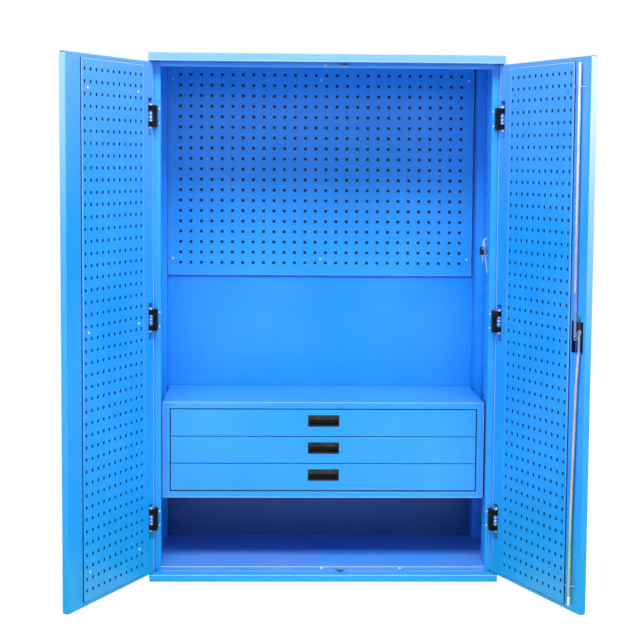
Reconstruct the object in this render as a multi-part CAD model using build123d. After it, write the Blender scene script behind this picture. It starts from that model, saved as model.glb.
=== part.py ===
from build123d import *
import os
from math import cos, pi, radians, sin, tan

os.makedirs("parts", exist_ok=True)

# A two-door steel storage cabinet: a sheet-metal carcass with slotted corner posts, a square-holed
# tool sheet on its back wall and on both doors, and a case of three drawers hung low between the posts.
# Frame: +Z up, X to the right seen from the front, +Y to the back. The origin is on the ground under
# the middle of the base. Every size is in millimetres.

# Whole cabinet
cab_w = 1190.0          # width of the cap and of the base
cab_d = 570.0           # depth of the cap and of the base
cab_h = 1788.0          # height from the ground to the top of the cap
sheet_t = 1.2           # steel sheet of the carcass, the doors and the drawers
fold_r = 2.0            # outside radius of a folded corner
fit_gap = 0.3           # clearance between sheet pieces that slip into each other
over = 1.0              # a cut reaches this far past the face that it goes through

# Cap and base, two shallow folded trays
base_h = 24.0
cap_h = 28.0
rim_w = 20.0            # return flange round the foot of the base
side_inset = 1.5        # sides and back of the carcass inside the ends and the back of the cap

# Front of the carcass, from the front of the cap backwards
door_setback = 10.0     # outer face of the closed doors behind the front of the cap
door_t = 21.0           # thickness of a door shell
flange_gap = 13.0       # inner face of the closed doors to the front flange of the sides
frame_gap = 25.0        # inner face of the closed doors to the frame round the opening
flange_w = 11.0         # front flange of a side
stile_w = 25.0          # face of a stile
lip_d = 30.0            # lip that the stiles and the header turn back into the cabinet
header_h = 15.5         # face of the header under the cap
floor_h = 16.5          # floor above the base

# Back wall and rear flanges of the sides
rear_flange_w = 18.0

# Slotted corner posts
post_t = 1.5
post_inset = 31.2       # inner face of a post from the outside of the carcass
rear_post_w = 85.0
rear_post_gap = 14.0    # rear post to the back of the cap
front_post_w = 65.0
front_post_y = -154.0   # front edge of the front posts
slot_w = 18.0
slot_h = 5.0
slot_pitch = 50.0
slot_first_z = 72.0
slot_last_z = 1722.0
slot_edge = 15.0        # middle of the slots from the rear edge of a post

# Square-holed tool sheets
hole = 10.0
hole_pitch = 38.0
tray_t = 1.2
back_cols = 28
back_rows = 19
back_side_margin = 46.0     # first column to the edge of the back sheet
back_bottom_margin = 46.0
back_top_margin = 38.0
back_top_row_z = 1742.0
back_sheet_shift = -3.0     # the back sheet sits this far off the middle
back_sheet_d = 11.3         # front of the back sheet from the back wall
door_cols = 11
door_rows = 44
door_side_margin = 20.5     # first column to the edge of a door sheet
door_end_margin = 34.0      # first row to the top or bottom edge of a door sheet
door_sheet_d = 4.0          # front of a door sheet from the inner face of the door
door_sheet_x = 74.0         # door sheet from the hinge edge of the door
door_top_row_z = 1709.0
tray_lap = 15.0             # door sheet over the edge of the opening behind it

# Doors and hinges
door_w = 588.0
door_gap = 9.0          # between the two closed doors
door_bottom_gap = 2.0
door_top_gap = 3.0
door_fold_r = 2.5
door_corner_r = 7.0     # corners of a door, seen from the front
left_open = 112.7       # angle of each door in the rest pose, in degrees from closed
right_open = 109.9
hinge_z0 = 210.0
hinge_pitch = 683.5
hinge_count = 3
pin_in = 4.0            # pin axis from the hinge edge of the door
pin_deep = 6.5          # pin axis from the inner face of the door
pin_d = 7.0
pin_out = 6.0           # pin beyond each arm of its block
hinge_fit = 0.05        # radial clearance of the pin in the barrel
block_h = 71.0
block_gap = 36.0        # between the two arms of a block
arm_r = 7.0
bar_in = 9.5            # near face of the block's bar from the pin axis
bar_w = 11.5
block_front = 7.0       # front of the block from the pin axis
barrel_d = 11.0
barrel_gap = 0.3        # barrel to each arm
barrel_groove = 2.0
barrel_groove_d = 9.0
groove_z = 6.5
leaf_t = 2.5
leaf_w = 32.0
leaf_h = 34.0
leaf_in = 1.5           # leaf inside the hinge edge of the door
web_w = 5.5
recess_w = 36.0         # recess in the door's edge round a hinge
recess_above = 24.0
recess_below = 29.0
recess_room = 0.5       # floor of the recess under the closed block
notch_room = 2.0        # notch in the door's rim beyond the ends of the pin
plate_gap = 1.0         # backing plate to the folds of its stile
plate_t = 3.0
block_edge_r = 1.0
hinge_screw_z = 24.0    # hinge screws above and below the middle of the block
hinge_screw_in = 5.5    # hinge screws from the block's bar

# Screws
head_round = 0.6        # share of a screw head's height that is rounded
cross_l = 0.55          # arms of the cross in a screw head, as shares of its diameter
cross_w = 0.13
screw_head_d = 9.0
screw_head_h = 2.4
screw_d = 5.0
screw_long = 6.0        # thread behind the sheet
small_head_d = 6.5
small_head_h = 1.8
small_screw_d = 3.5
small_screw_out = 1.0   # thread beyond the backing plate
back_screw_out = 27.5   # back sheet screws outside the outer columns
back_screw_in = 15.0    # back sheet screws inside the outer rows
frame_screw_x = (-6.0, 264.0)
frame_screw_low = 6.5   # frame screws from the edge of the header and of the floor
door_screw_cols = (0.5, 9.5)
door_screw_rows = (1.5, 21.5, 41.5)

# Drawer case
unit_w = 1112.0
unit_z0 = 268.0
unit_z1 = 602.0
unit_y0 = -164.0
unit_d = 432.0
unit_side = 27.0        # frame at the sides of the drawers
unit_edge = 25.0        # frame above and under the drawers
unit_fold = 15.0        # depth of the frame's folded edges
clip_w = 22.0
clip_out = 20.0
clip_t = 2.0
clip_h = 30.0

# Drawers and their slides
drawer_count = 3
drawer_gap = 2.5
drawer_pan_d = 18.0     # depth of a drawer front
drawer_front_r = 1.0
drawer_box_h = 68.0
drawer_box_d = 400.0
slide_h = 45.0
slide_t = 12.5          # width of a whole slide
slide_sheet = 1.2
slide_long = 400.0
slide_back = 2.0        # slides behind the drawer fronts
slide_play = 0.5        # running clearance between the members of a slide
grip_w = 108.0
grip_h = 39.5
grip_up = 7.5           # grip above the middle of the drawer front
grip_lip = 2.0          # grip's frame proud of the drawer front
grip_border = 3.0       # frame beside and below the cup
grip_hood = 15.0        # upper part of the frame, closed, that the fingers hook behind
grip_deep = 15.0
grip_wall = 1.6
grip_r = 2.5
grip_edge_r = 1.0
grip_hood_t = 2.0

# Lock on the right door, all places from the closed door
lock_x = 43.3
lock_z = 901.0
cut_x0 = 20.0
cut_x1 = 91.0
cut_z0 = 844.0
cut_z1 = 943.0
body_w = 36.0
body_h = 92.0
core_w = 20.0           # part of the lock body in the outer skin of the door
core_h = 64.0
moulded_r = 1.5         # rounding of the lock's body and plate
plate_out_w = 40.0
plate_out_h = 110.0
plate_out_t = 4.0
plate_out_r = 12.0
clamp_w = 9.0
clamp_t = 1.5
clamp_z0 = 916.0
clamp_z1 = 958.0
cam_r = 13.0            # cam pins from the axis
cam_t = 3.0
cam_lift = 2.0          # cam above the inner face of the door
cam_pin_d = 6.0
cam_pin_h = 6.5
cam_w = 17.0
spindle_d = 10.0
nut_w = 11.0
nut_h = 5.0
turn = 90.0             # handle's quarter turn, in degrees
grip_bar_h = 74.0       # upright in the rest pose
grip_bar_w = 20.0
grip_bar_d = 9.0
grip_bar_r = 8.0
grip_bar_edge_r = 3.0
hub_d = 34.0
hub_t = 3.0
hub_r = 1.5
key_d = 13.0
key_out = 1.5
key_deep = 10.0
key_edge_r = 0.6
keyway_w = 1.8
keyway_h = 7.0
keyway_deep = 7.0

# Lock rods
rod_d = 9.5
rod_up = 9.0            # rod axis above the inner face of the door
rod_x = 57.5
rod_top_z = 1737.0
rod_bottom_z = 45.0
rod_end_r = 2.8
rod_bend_r = 120.0
tip_d = 9.0
tip_h = 30.0
tip_core_h = 26.0       # rod inside its tip
tip_core_d = 6.0
flat_t = 3.0
flat_w = 9.0
upper_flat_z = 1029.0   # where the upper rod becomes a flat bar
lower_flat_z = 840.0    # where the flat bar becomes the lower rod
lower_bends = ((33.0, 826.0), (41.0, 745.0), (55.0, 390.0))    # X and Z on the lower rod
lower_straight_z = 260.0
fork_in = 6.2           # prongs of a rod's fork from the axis of the cam
fork_h = 15.0
fork_wall = 2.75
fork_r = 2.0
fork_play = 0.75
fork_lift = 0.8         # forks above the cam
guide_d = 3.0
guide_to_hinge = 38.0   # feet of a guide from its rod
guide_to_edge = 22.0
guide_places = ((1664.5, -3.0), (109.5, 7.0))     # height, and rise from the hinge's foot to the edge's
guide_play = 0.6
guide_room = 1.0        # guide beside its rod
guide_foot = 4.0
guide_bend_r = 2.5
keeper_w = 21.0
keeper_out = 22.0
keeper_t = 2.0
keeper_r = 3.0
keeper_in = 2.2         # keeper from the edge of the header or of the floor
keeper_hole = 12.5

# Spare keys on their string
string_d = 1.5
least_bend = 3.0        # least radius of the string, in diameters
key_head_w = 22.0
key_head_h = 29.0
key_head_t = 2.4
key_head_z = 1141.0
key_blade_w = 7.5
key_blade_t = 1.4
key_blade_z = 1087.0
key_shoulder_r = 9.0
key_foot_r = 2.8
key_eye = 8.0
key_eye_r = 3.2
key_eye_in = 3.0        # eye under the top of the head
key_point = 2.2
key_bites = 4
key_bite = 1.8
key_bite_pitch = 4.5
key_bite_in = 5.0
keys_x = 550.0
keys_y = -107.0

# Worked out from the sizes above
front_y = -cab_d / 2
back_y = cab_d / 2
cap_z = cab_h - cap_h
ceiling_z = cab_h - sheet_t
side_x = cab_w / 2 - side_inset
carcass_back_y = back_y - side_inset
side_in_x = side_x - sheet_t
door_out_y = front_y + door_setback
door_in_y = door_out_y + door_t
flange_y = door_in_y + flange_gap
frame_y = door_in_y + frame_gap
stile_x1 = side_x - flange_w
stile_x0 = stile_x1 - stile_w
header_z = cap_z - header_h
floor_z = base_h + floor_h
wall_y = carcass_back_y - sheet_t
flange_back_y = wall_y - sheet_t
post_x = side_x - post_inset
rear_post_y1 = back_y - rear_post_gap
rear_post_y0 = rear_post_y1 - rear_post_w
free_x = door_gap / 2
hinge_x = free_x + door_w
door_z0 = base_h + door_bottom_gap
door_z1 = cap_z - door_top_gap
pin_x = hinge_x - pin_in
pin_y = door_in_y - pin_deep
recess_y = pin_y - max(block_front, arm_r) - recess_room
skin_y = door_out_y + sheet_t
hinge_zs = [hinge_z0 + hinge_pitch * i for i in range(hinge_count)]
cam_y = door_in_y + cam_lift
fork_y = cam_y + cam_t + fork_lift
rod_y = door_in_y + rod_up
cam_rest = radians(turn / 2)
rod_travel = 2 * cam_r * sin(cam_rest)


def box(x0, x1, y0, y1, z0, z1):
    """A block between two corners."""
    centre = ((x0 + x1) / 2, (y0 + y1) / 2, (z0 + z1) / 2)
    return Pos(*centre) * Box(abs(x1 - x0), abs(y1 - y0), abs(z1 - z0))


def rod_z(x, y, z0, z1, d):
    """An upright cylinder."""
    return Pos(x, y, (z0 + z1) / 2) * Cylinder(d / 2, z1 - z0)


def rod_y_axis(x, z, y0, y1, d):
    """A cylinder along Y."""
    return Pos(x, (y0 + y1) / 2, z) * Rot(90, 0, 0) * Cylinder(d / 2, y1 - y0)


def mirrored(shape):
    """The same piece on the other side of the cabinet."""
    return mirror(shape, about=Plane.YZ)


def upright_edges(shape):
    return shape.edges().filter_by(Axis.Z)


def save(name, *shapes):
    """Write one node, as one solid or as a group of separate solids."""
    solids = [s for shape in shapes for s in shape.solids()]
    export_step(solids[0] if len(solids) == 1 else Compound(children=solids), f"parts/{name}.step")


def on_left_door(shape):
    """Swing a piece from the closed left door to the rest pose."""
    return shape.rotate(Axis((-pin_x, pin_y, 0), (0, 0, 1)), -left_open)


def on_right_door(shape):
    """Swing a piece from the closed right door to the rest pose."""
    return shape.rotate(Axis((pin_x, pin_y, 0), (0, 0, 1)), right_open)


def pan_screw(x, z, face_y, head_d, head_h, thread_d, thread_l):
    """A cross-head screw whose head stands in front of a face that looks to -Y."""
    head = rod_y_axis(x, z, face_y - head_h, face_y, head_d)
    head = fillet(head.faces().sort_by(Axis.Y)[0].edges(), head_h * head_round)
    thread = rod_y_axis(x, z, face_y, face_y + thread_l, thread_d)
    arm = head_d * cross_l / 2
    half = head_d * cross_w / 2
    y0 = face_y - head_h
    y1 = face_y - head_h / 2
    cross = box(x - arm, x + arm, y0, y1, z - half, z + half)
    cross += box(x - half, x + half, y0, y1, z - arm, z + arm)
    return head + thread - cross


def screw_hole(x, z, y0, y1, d):
    """Clearance hole along Y for a screw."""
    return rod_y_axis(x, z, y0, y1, d + fit_gap)


def sheet_hole(x, z, d):
    """Clearance hole through the frame round the opening."""
    return screw_hole(x, z, frame_y - over, frame_y + sheet_t + over, d)


def holed_tray(x0, z0, width, height, front_y, depth, first_x, first_z, cols, rows, away, screws):
    """A folded tray whose face is a grid of square holes. It opens towards away * Y."""
    t = tray_t
    x1 = x0 + width
    z1 = z0 + height
    y1 = front_y + away * depth
    y_in = front_y + away * t
    rim = box(x0, x1, front_y, y1, z0, z1)
    rim = fillet(rim.edges().filter_by(Axis.Y), fold_r)
    rim = fillet(rim.faces().sort_by(Axis.Y)[0 if away > 0 else -1].edges(), fold_r)
    rim -= box(x0 + t, x1 - t, y_in, y1 + away * over, z0 + t, z1 - t)
    rim -= box(x0 + fold_r, x1 - fold_r, front_y - away * over, y1, z0 + fold_r, z1 - fold_r)
    outline = Pos(x0 + width / 2, z0 + height / 2) * Rectangle(width - 2 * fold_r, height - 2 * fold_r)
    cuts = [
        Pos(first_x + hole_pitch * c, first_z + hole_pitch * r) * Rectangle(hole, hole)
        for c in range(cols)
        for r in range(rows)
    ]
    cuts += [Pos(x, z) * Circle((screw_d + fit_gap) / 2) for x, z in screws]
    plan = Face(outline.wires()[0], [c.wires()[0] for c in cuts])
    plate = Plane.XZ.from_local_coords(plan)
    plate = Pos(0, front_y, 0) * extrude(plate, amount=t, dir=(0, away, 0))
    return plate + rim


# Cap: a folded tray, open underneath, with a soffit in front of the header
def top_cap():
    shell = box(-cab_w / 2, cab_w / 2, front_y, back_y, cap_z, cab_h)
    shell = fillet(shell.edges().filter_by(Axis.Z) + shell.faces().sort_by(Axis.Z)[-1].edges(), fold_r)
    inside = box(-cab_w / 2 + sheet_t, cab_w / 2 - sheet_t, front_y + sheet_t, back_y - sheet_t,
                 cap_z - over, ceiling_z)
    soffit = box(-cab_w / 2 + sheet_t, cab_w / 2 - sheet_t, front_y + sheet_t, frame_y,
                 cap_z, cap_z + sheet_t)
    side_room = box(-side_x - fit_gap, -stile_x0, flange_y - fit_gap, frame_y, cap_z - over, cap_z + sheet_t)
    soffit -= side_room
    soffit -= mirrored(side_room)
    return shell - inside + soffit


# Base: the same tray turned over, closed on top, with a return flange round its foot
def base_plinth():
    shell = box(-cab_w / 2, cab_w / 2, front_y, back_y, 0, base_h)
    shell = fillet(upright_edges(shell) + shell.faces().sort_by(Axis.Z)[-1].edges(), fold_r)
    hx = cab_w / 2 - sheet_t
    hy = cab_d / 2 - sheet_t
    shell -= box(-hx, hx, -hy, hy, sheet_t, base_h - sheet_t)
    rx = cab_w / 2 - rim_w
    ry = cab_d / 2 - rim_w
    return shell - box(-rx, rx, -ry, ry, -over, sheet_t + over)


# Right side: wall, front flange and rear flange
def side_panel():
    wall = box(side_in_x, side_x, flange_y, carcass_back_y, base_h, ceiling_z)
    front = box(stile_x1, side_x, flange_y, flange_y + sheet_t, base_h, ceiling_z)
    rear = box(side_in_x - rear_flange_w, side_in_x, flange_back_y, wall_y, base_h, ceiling_z)
    panel = wall + front + rear
    corner = panel.edges().filter_by(Axis.Z).sort_by_distance((side_x, flange_y, cab_h / 2))[0]
    return fillet(corner, sheet_t)


def back_panel():
    x1 = side_in_x - fit_gap
    return box(-x1, x1, wall_y, carcass_back_y, base_h, ceiling_z)


# Right stile: a Z section that closes the step from the side's flange to the opening
def stile():
    z0 = base_h
    z1 = ceiling_z
    leg = box(stile_x1 - sheet_t, stile_x1, flange_y + sheet_t, frame_y + sheet_t, z0, z1)
    face = box(stile_x0, stile_x1, frame_y, frame_y + sheet_t, z0, z1)
    lip = box(stile_x0, stile_x0 + sheet_t, frame_y, frame_y + lip_d, z0, z1)
    part = leg + face + lip
    edge = part.edges().filter_by(Axis.Z).sort_by_distance((stile_x0, frame_y, cab_h / 2))[0]
    part = fillet(edge, sheet_t)
    for z in hinge_zs:
        for dz in (-hinge_screw_z, hinge_screw_z):
            part -= sheet_hole(hinge_screw_x(), z + dz, small_screw_d)
    return part


def hinge_screw_x():
    """Place of the hinge screws on the right stile."""
    return pin_x - bar_in - bar_w - hinge_screw_in


def header():
    x1 = stile_x0
    face = box(-x1, x1, frame_y, frame_y + sheet_t, header_z, ceiling_z)
    lip = box(-x1, x1, frame_y, frame_y + lip_d, header_z, header_z + sheet_t)
    part = face + lip
    edge = part.edges().filter_by(Axis.X).sort_by_distance((0, frame_y, header_z))[0]
    part = fillet(edge, sheet_t)
    z = header_z + frame_screw_low
    return part - sheet_hole(frame_screw_x[0], z, screw_d)


# Floor: a tray turned over, whose front fold is the sill between the stiles
def floor_panel():
    x1 = stile_x0 - fit_gap
    x2 = side_in_x - fit_gap
    y1 = flange_back_y - fit_gap
    y_step = frame_y + lip_d + fit_gap
    middle = box(-x1, x1, frame_y, y1, base_h, floor_z)
    edge = middle.edges().filter_by(Axis.X).sort_by_distance((0, frame_y, floor_z))[0]
    middle = fillet(edge, fold_r)
    wings = box(-x2, x2, y_step, y1, base_h, floor_z)
    z0 = base_h - over
    z1 = floor_z - sheet_t
    under = box(-x1 + sheet_t, x1 - sheet_t, frame_y + sheet_t, y1 - sheet_t, z0, z1)
    under += box(-x2 + sheet_t, x2 - sheet_t, y_step + sheet_t, y1 - sheet_t, z0, z1)
    part = middle + wings - under
    for x in frame_screw_x:
        part -= sheet_hole(x, floor_z - frame_screw_low, screw_d)
    return part


# Right post: a channel with its slotted face to the inside, open towards the side wall
def corner_post(y0, width):
    x_out = side_in_x
    y1 = y0 + width
    outer = box(post_x, x_out, y0, y1, floor_z, ceiling_z)
    outer = fillet(outer.faces().sort_by(Axis.X)[0].edges().filter_by(Axis.Z), post_t)
    z0 = floor_z - over
    z1 = ceiling_z + over
    part = outer - box(post_x + post_t, x_out + over, y0 + post_t, y1 - post_t, z0, z1)
    slots = []
    z = slot_first_z
    while z <= slot_last_z:
        slots.append(box(post_x - over, post_x + post_t + over, y1 - slot_edge - slot_w / 2,
                         y1 - slot_edge + slot_w / 2, z - slot_h / 2, z + slot_h / 2))
        z += slot_pitch
    return part - slots


def back_screw_places():
    x_mid = back_sheet_shift
    dx = hole_pitch * (back_cols - 1) / 2 + back_screw_out
    z_top = back_top_row_z - back_screw_in
    z_low = back_top_row_z - hole_pitch * (back_rows - 1) + back_screw_in
    return [(x_mid + sx * dx, z) for z in (z_top, z_low) for sx in (-1, 0, 1)]


def back_sheet():
    width = hole_pitch * (back_cols - 1) + 2 * back_side_margin
    first_x = back_sheet_shift - hole_pitch * (back_cols - 1) / 2
    first_z = back_top_row_z - hole_pitch * (back_rows - 1)
    height = hole_pitch * (back_rows - 1) + back_bottom_margin + back_top_margin
    return holed_tray(first_x - back_side_margin, first_z - back_bottom_margin, width, height,
                      wall_y - back_sheet_d, back_sheet_d, first_x, first_z, back_cols, back_rows,
                      1, back_screw_places())


def panel_screws():
    """Identical pan screws: six through the back sheet, one in the header and two in the sill."""
    face = wall_y - back_sheet_d
    places = [(x, z, face) for x, z in back_screw_places()]
    places.append((frame_screw_x[0], header_z + frame_screw_low, frame_y))
    places += [(x, floor_z - frame_screw_low, frame_y) for x in frame_screw_x]
    return [pan_screw(x, z, y, screw_head_d, screw_head_h, screw_d, screw_long) for x, z, y in places]


# Hinges of the right door
def hinge_block(z):
    """C-shaped block on the stile: an upright bar and two arms that hold the pin."""
    h = block_h / 2
    bar_x1 = pin_x - bar_in
    bar_x0 = bar_x1 - bar_w
    y0 = pin_y - block_front
    bar = box(bar_x0, bar_x1, y0, frame_y, z - h, z + h)
    bar = fillet(bar.faces().sort_by(Axis.Y)[0].edges(), block_edge_r)
    arms = []
    for z0, z1 in ((z - h, z - block_gap / 2), (z + block_gap / 2, z + h)):
        arm = box(bar_x1 - over, pin_x, pin_y - arm_r, pin_y + arm_r, z0, z1)
        arms.append(arm + rod_z(pin_x, pin_y, z0, z1, 2 * arm_r))
    return bar + arms - rod_z(pin_x, pin_y, z - h - over, z + h + over, pin_d)


def hinge_pin(z):
    """Pin with a domed end above and under its block."""
    half = block_h / 2 + pin_out
    pin = rod_z(pin_x, pin_y, z - half, z + half, pin_d)
    ends = pin.faces().sort_by(Axis.Z)[0].edges() + pin.faces().sort_by(Axis.Z)[-1].edges()
    return fillet(ends, pin_d * 0.4)


def hinge_leaf(z):
    """Barrel between the arms, its web, and the plate that lies on the inside of the door's skin."""
    half = block_gap / 2 - barrel_gap
    barrel = rod_z(pin_x, pin_y, z - half, z + half, barrel_d)
    for dz in (-groove_z, groove_z):
        ring = rod_z(pin_x, pin_y, z + dz - barrel_groove / 2, z + dz + barrel_groove / 2, barrel_d + over)
        ring -= rod_z(pin_x, pin_y, z + dz - barrel_groove, z + dz + barrel_groove, barrel_groove_d)
        barrel -= ring
    h = leaf_h / 2
    x1 = hinge_x - leaf_in
    web = box(x1 - web_w, x1, skin_y, pin_y - barrel_d / 4, z - h, z + h)
    plate = box(x1 - leaf_w, x1, skin_y, skin_y + leaf_t, z - h, z + h)
    bore = rod_z(pin_x, pin_y, z - half - over, z + half + over, pin_d + 2 * hinge_fit)
    return barrel + web + plate - bore


def backing_plate(z):
    """Plate behind the stile that the hinge screws draw up."""
    x0 = stile_x0 + sheet_t + plate_gap
    x1 = stile_x1 - sheet_t - plate_gap
    y0 = frame_y + sheet_t
    part = box(x0, x1, y0, y0 + plate_t, z - block_h / 2, z + block_h / 2)
    for dz in (-hinge_screw_z, hinge_screw_z):
        part -= rod_y_axis(hinge_screw_x(), z + dz, y0 - over, y0 + plate_t + over, small_screw_d)
    return part


def hinge_screws(z):
    return [
        pan_screw(hinge_screw_x(), z + dz, frame_y, small_head_d, small_head_h, small_screw_d,
                  sheet_t + plate_t + small_screw_out)
        for dz in (-hinge_screw_z, hinge_screw_z)
    ]


# Closed right door: a folded pan with a wide return on its inner face
def door_shell(with_lock):
    outer = box(free_x, hinge_x, door_out_y, door_in_y, door_z0, door_z1)
    outer = fillet(outer.edges().filter_by(Axis.Y), door_corner_r)
    faces = outer.faces().sort_by(Axis.Y)
    outer = fillet(faces[0].edges() + faces[-1].edges(), door_fold_r)
    t = sheet_t
    inside = box(free_x + t, hinge_x - t, skin_y, door_in_y - t, door_z0 + t, door_z1 - t)
    x1 = hinge_x - door_sheet_x
    x0 = x1 - door_sheet_w()
    z0, z1 = door_sheet_z()
    cut_y0 = door_in_y - t - over
    cut_y1 = door_in_y + over
    part = outer - inside
    part -= box(x0 + tray_lap, x1 - tray_lap, cut_y0, cut_y1, z0 + tray_lap, z1 - tray_lap)
    for z in hinge_zs:
        low = z - block_h / 2 - recess_below
        high = z + block_h / 2 + recess_above
        rx = hinge_x - recess_w
        notch = block_h / 2 + pin_out + notch_room
        half_slot = leaf_h / 2 + fit_gap
        part += box(rx - t, hinge_x - t, recess_y - t, door_in_y - t, low - t, high + t)
        part -= box(rx, hinge_x - t, recess_y, cut_y1, low, high)
        part -= box(hinge_x - t - over, hinge_x + over, recess_y, cut_y1, z - notch, z + notch)
        part -= box(hinge_x - leaf_in - web_w - fit_gap, hinge_x - t, recess_y - t - over, recess_y + over,
                    z - half_slot, z + half_slot)
    if with_lock:
        part -= box(cut_x0, cut_x1, cut_y0, cut_y1, cut_z0, cut_z1)
        part -= lock_core(fit_gap / 2)
    for x, z in door_screw_places():
        part -= screw_hole(x, z, cut_y0, cut_y1, screw_d)
    return part


def door_sheet_w():
    return hole_pitch * (door_cols - 1) + 2 * door_side_margin


def door_sheet_z():
    """Bottom and top of a door sheet."""
    z0 = door_top_row_z - hole_pitch * (door_rows - 1) - door_end_margin
    return z0, door_top_row_z + door_end_margin


def door_screw_places():
    """Door sheet screws, given in hole columns from the hinge side and in rows from the top."""
    x_first = hinge_x - door_sheet_x - door_side_margin
    return [
        (x_first - hole_pitch * c, door_top_row_z - hole_pitch * r)
        for r in door_screw_rows
        for c in door_screw_cols
    ]


def door_sheet():
    z0, z1 = door_sheet_z()
    x0 = hinge_x - door_sheet_x - door_sheet_w()
    return holed_tray(x0, z0, door_sheet_w(), z1 - z0, door_in_y + door_sheet_d, door_sheet_d,
                      x0 + door_side_margin, z0 + door_end_margin, door_cols, door_rows, -1,
                      door_screw_places())


def door_screws():
    """Screws whose heads lie on a door sheet and look to +Y."""
    face = door_in_y + door_sheet_d
    screws = []
    for x, z in door_screw_places():
        screw = pan_screw(x, z, 0, screw_head_d, screw_head_h, screw_d, screw_long)
        screws.append(Pos(2 * x, face, 0) * screw.rotate(Axis.Z, 180))
    return screws


# Lock of the closed right door
def lock_core(grow=0.0):
    """The part of the lock body that goes through the outer skin of the door."""
    w = core_w / 2 + grow
    h = core_h / 2 + grow
    return box(lock_x - w, lock_x + w, door_out_y - over, skin_y + over, lock_z - h, lock_z + h)


def lock_body():
    w = body_w / 2
    h = body_h / 2
    z_mid = (cut_z0 + cut_z1) / 2
    case = box(lock_x - w, lock_x + w, skin_y, door_in_y, z_mid - h, z_mid + h)
    case = fillet(case.faces().sort_by(Axis.Y)[-1].edges(), moulded_r)
    core = lock_core() & box(0, cab_w, door_out_y, skin_y, 0, cab_h)
    bore = rod_y_axis(lock_x, lock_z, door_out_y - over, door_in_y + over, spindle_d + 2 * hinge_fit)
    return case + core - bore


def handle_plate():
    """Oblong plate on the outside of the door."""
    y0 = door_out_y - plate_out_t
    w = plate_out_w / 2
    z_mid = (cut_z0 + cut_z1) / 2
    part = box(lock_x - w, lock_x + w, y0, door_out_y, z_mid - plate_out_h / 2, z_mid + plate_out_h / 2)
    part = fillet(part.edges().filter_by(Axis.Y), plate_out_r)
    part = fillet(part.faces().sort_by(Axis.Y)[0].edges(), moulded_r)
    return part - rod_y_axis(lock_x, lock_z, y0 - over, door_out_y + over, spindle_d + 2 * hinge_fit)


def lock_clamp():
    """Strap over the top of the lock body, held on the door by a screw."""
    y1 = door_in_y + clamp_t
    strap = box(lock_x - clamp_w / 2, lock_x + clamp_w / 2, door_in_y, y1, clamp_z0, clamp_z1)
    z = clamp_z1 - clamp_w / 2
    head = rod_y_axis(lock_x, z, y1, y1 + small_head_h, small_head_d)
    head = fillet(head.faces().sort_by(Axis.Y)[-1].edges(), small_head_h * head_round)
    return strap + head


def door_handle():
    """Hub, low grip bar and spindle of the handle, the bar upright in the rest pose."""
    y1 = door_out_y - plate_out_t - fit_gap
    hub = rod_y_axis(lock_x, lock_z, y1 - hub_t, y1, hub_d)
    hub = fillet(hub.faces().sort_by(Axis.Y)[0].edges(), hub_r)
    y0 = y1 - hub_t - grip_bar_d
    w = grip_bar_w / 2
    bar = box(lock_x - w, lock_x + w, y0, y1 - hub_t, lock_z - grip_bar_h / 2, lock_z + grip_bar_h / 2)
    bar = fillet(bar.edges().filter_by(Axis.Y), grip_bar_r)
    bar = fillet(bar.faces().sort_by(Axis.Y)[0].edges(), grip_bar_edge_r)
    bore = rod_y_axis(lock_x, lock_z, y0 - over, y0 + key_deep, key_d + 2 * hinge_fit)
    spindle = rod_y_axis(lock_x, lock_z, y1 - over, cam_y, spindle_d)
    return hub + bar + spindle - bore


def key_cylinder():
    """Lock barrel in the middle of the handle, with its keyway."""
    y0 = door_out_y - plate_out_t - fit_gap - hub_t - grip_bar_d
    part = rod_y_axis(lock_x, lock_z, y0 - key_out, y0 + key_deep, key_d)
    part = fillet(part.faces().sort_by(Axis.Y)[0].edges(), key_edge_r)
    w = keyway_w / 2
    h = keyway_h / 2
    return part - box(lock_x - w, lock_x + w, y0 - key_out - over, y0 + keyway_deep, lock_z - h, lock_z + h)


def cam_pin_offset():
    """Place of a cam pin from the axis in the rest pose, for the upper rod."""
    return cam_r * cos(cam_rest), -cam_r * sin(cam_rest)


def lock_cam():
    """Cam plate on the spindle, with a pin for each rod and a nut in the middle."""
    dx, dz = cam_pin_offset()
    y1 = cam_y + cam_t
    bar = box(-cam_r, cam_r, cam_y, y1, -cam_w / 2, cam_w / 2)
    bar += [rod_y_axis(s * cam_r, 0, cam_y, y1, cam_w) for s in (-1, 1)]
    bar = Pos(lock_x, 0, lock_z) * bar.rotate(Axis.Y, turn / 2)
    pins = [
        rod_y_axis(lock_x + s * dx, lock_z + s * dz, y1, y1 + cam_pin_h, cam_pin_d)
        for s in (-1, 1)
    ]
    nut = Pos(lock_x, y1, lock_z) * Rot(90, 0, 0) * extrude(RegularPolygon(nut_w / 2, 6), -nut_h)
    return bar + pins + nut


def rod_fork(side):
    """Forked end of a rod round its cam pin, and its place. side is +1 towards the hinges."""
    x0 = lock_x + side * fork_in
    slot_x = lock_x + side * (cam_r + cam_pin_d / 2 + fork_play)
    x1 = slot_x + side * fork_wall
    z_mid = lock_z + side * cam_pin_offset()[1]
    y1 = fork_y + flat_t
    plate = box(x0, x1, fork_y, y1, z_mid - fork_h / 2, z_mid + fork_h / 2)
    plate = fillet(plate.edges().filter_by(Axis.Y), fork_r)
    half = cam_pin_d / 2 + fork_play
    slot = box(x0 - side * over, slot_x, fork_y - over, y1 + over, z_mid - half, z_mid + half)
    return plate - slot, z_mid


def upper_lock_rod():
    """Fork, flat bar and round rod, all straight up."""
    fork, z_fork = rod_fork(1)
    w = flat_w / 2
    flat = box(rod_x - w, rod_x + w, fork_y, fork_y + flat_t, z_fork + fork_h / 2 - over, upper_flat_z)
    rod = rod_z(rod_x, rod_y, upper_flat_z - over, rod_top_z, rod_d)
    rod = fillet(rod.faces().sort_by(Axis.Z)[-1].edges(), rod_end_r)
    return fork + flat + rod


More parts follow.
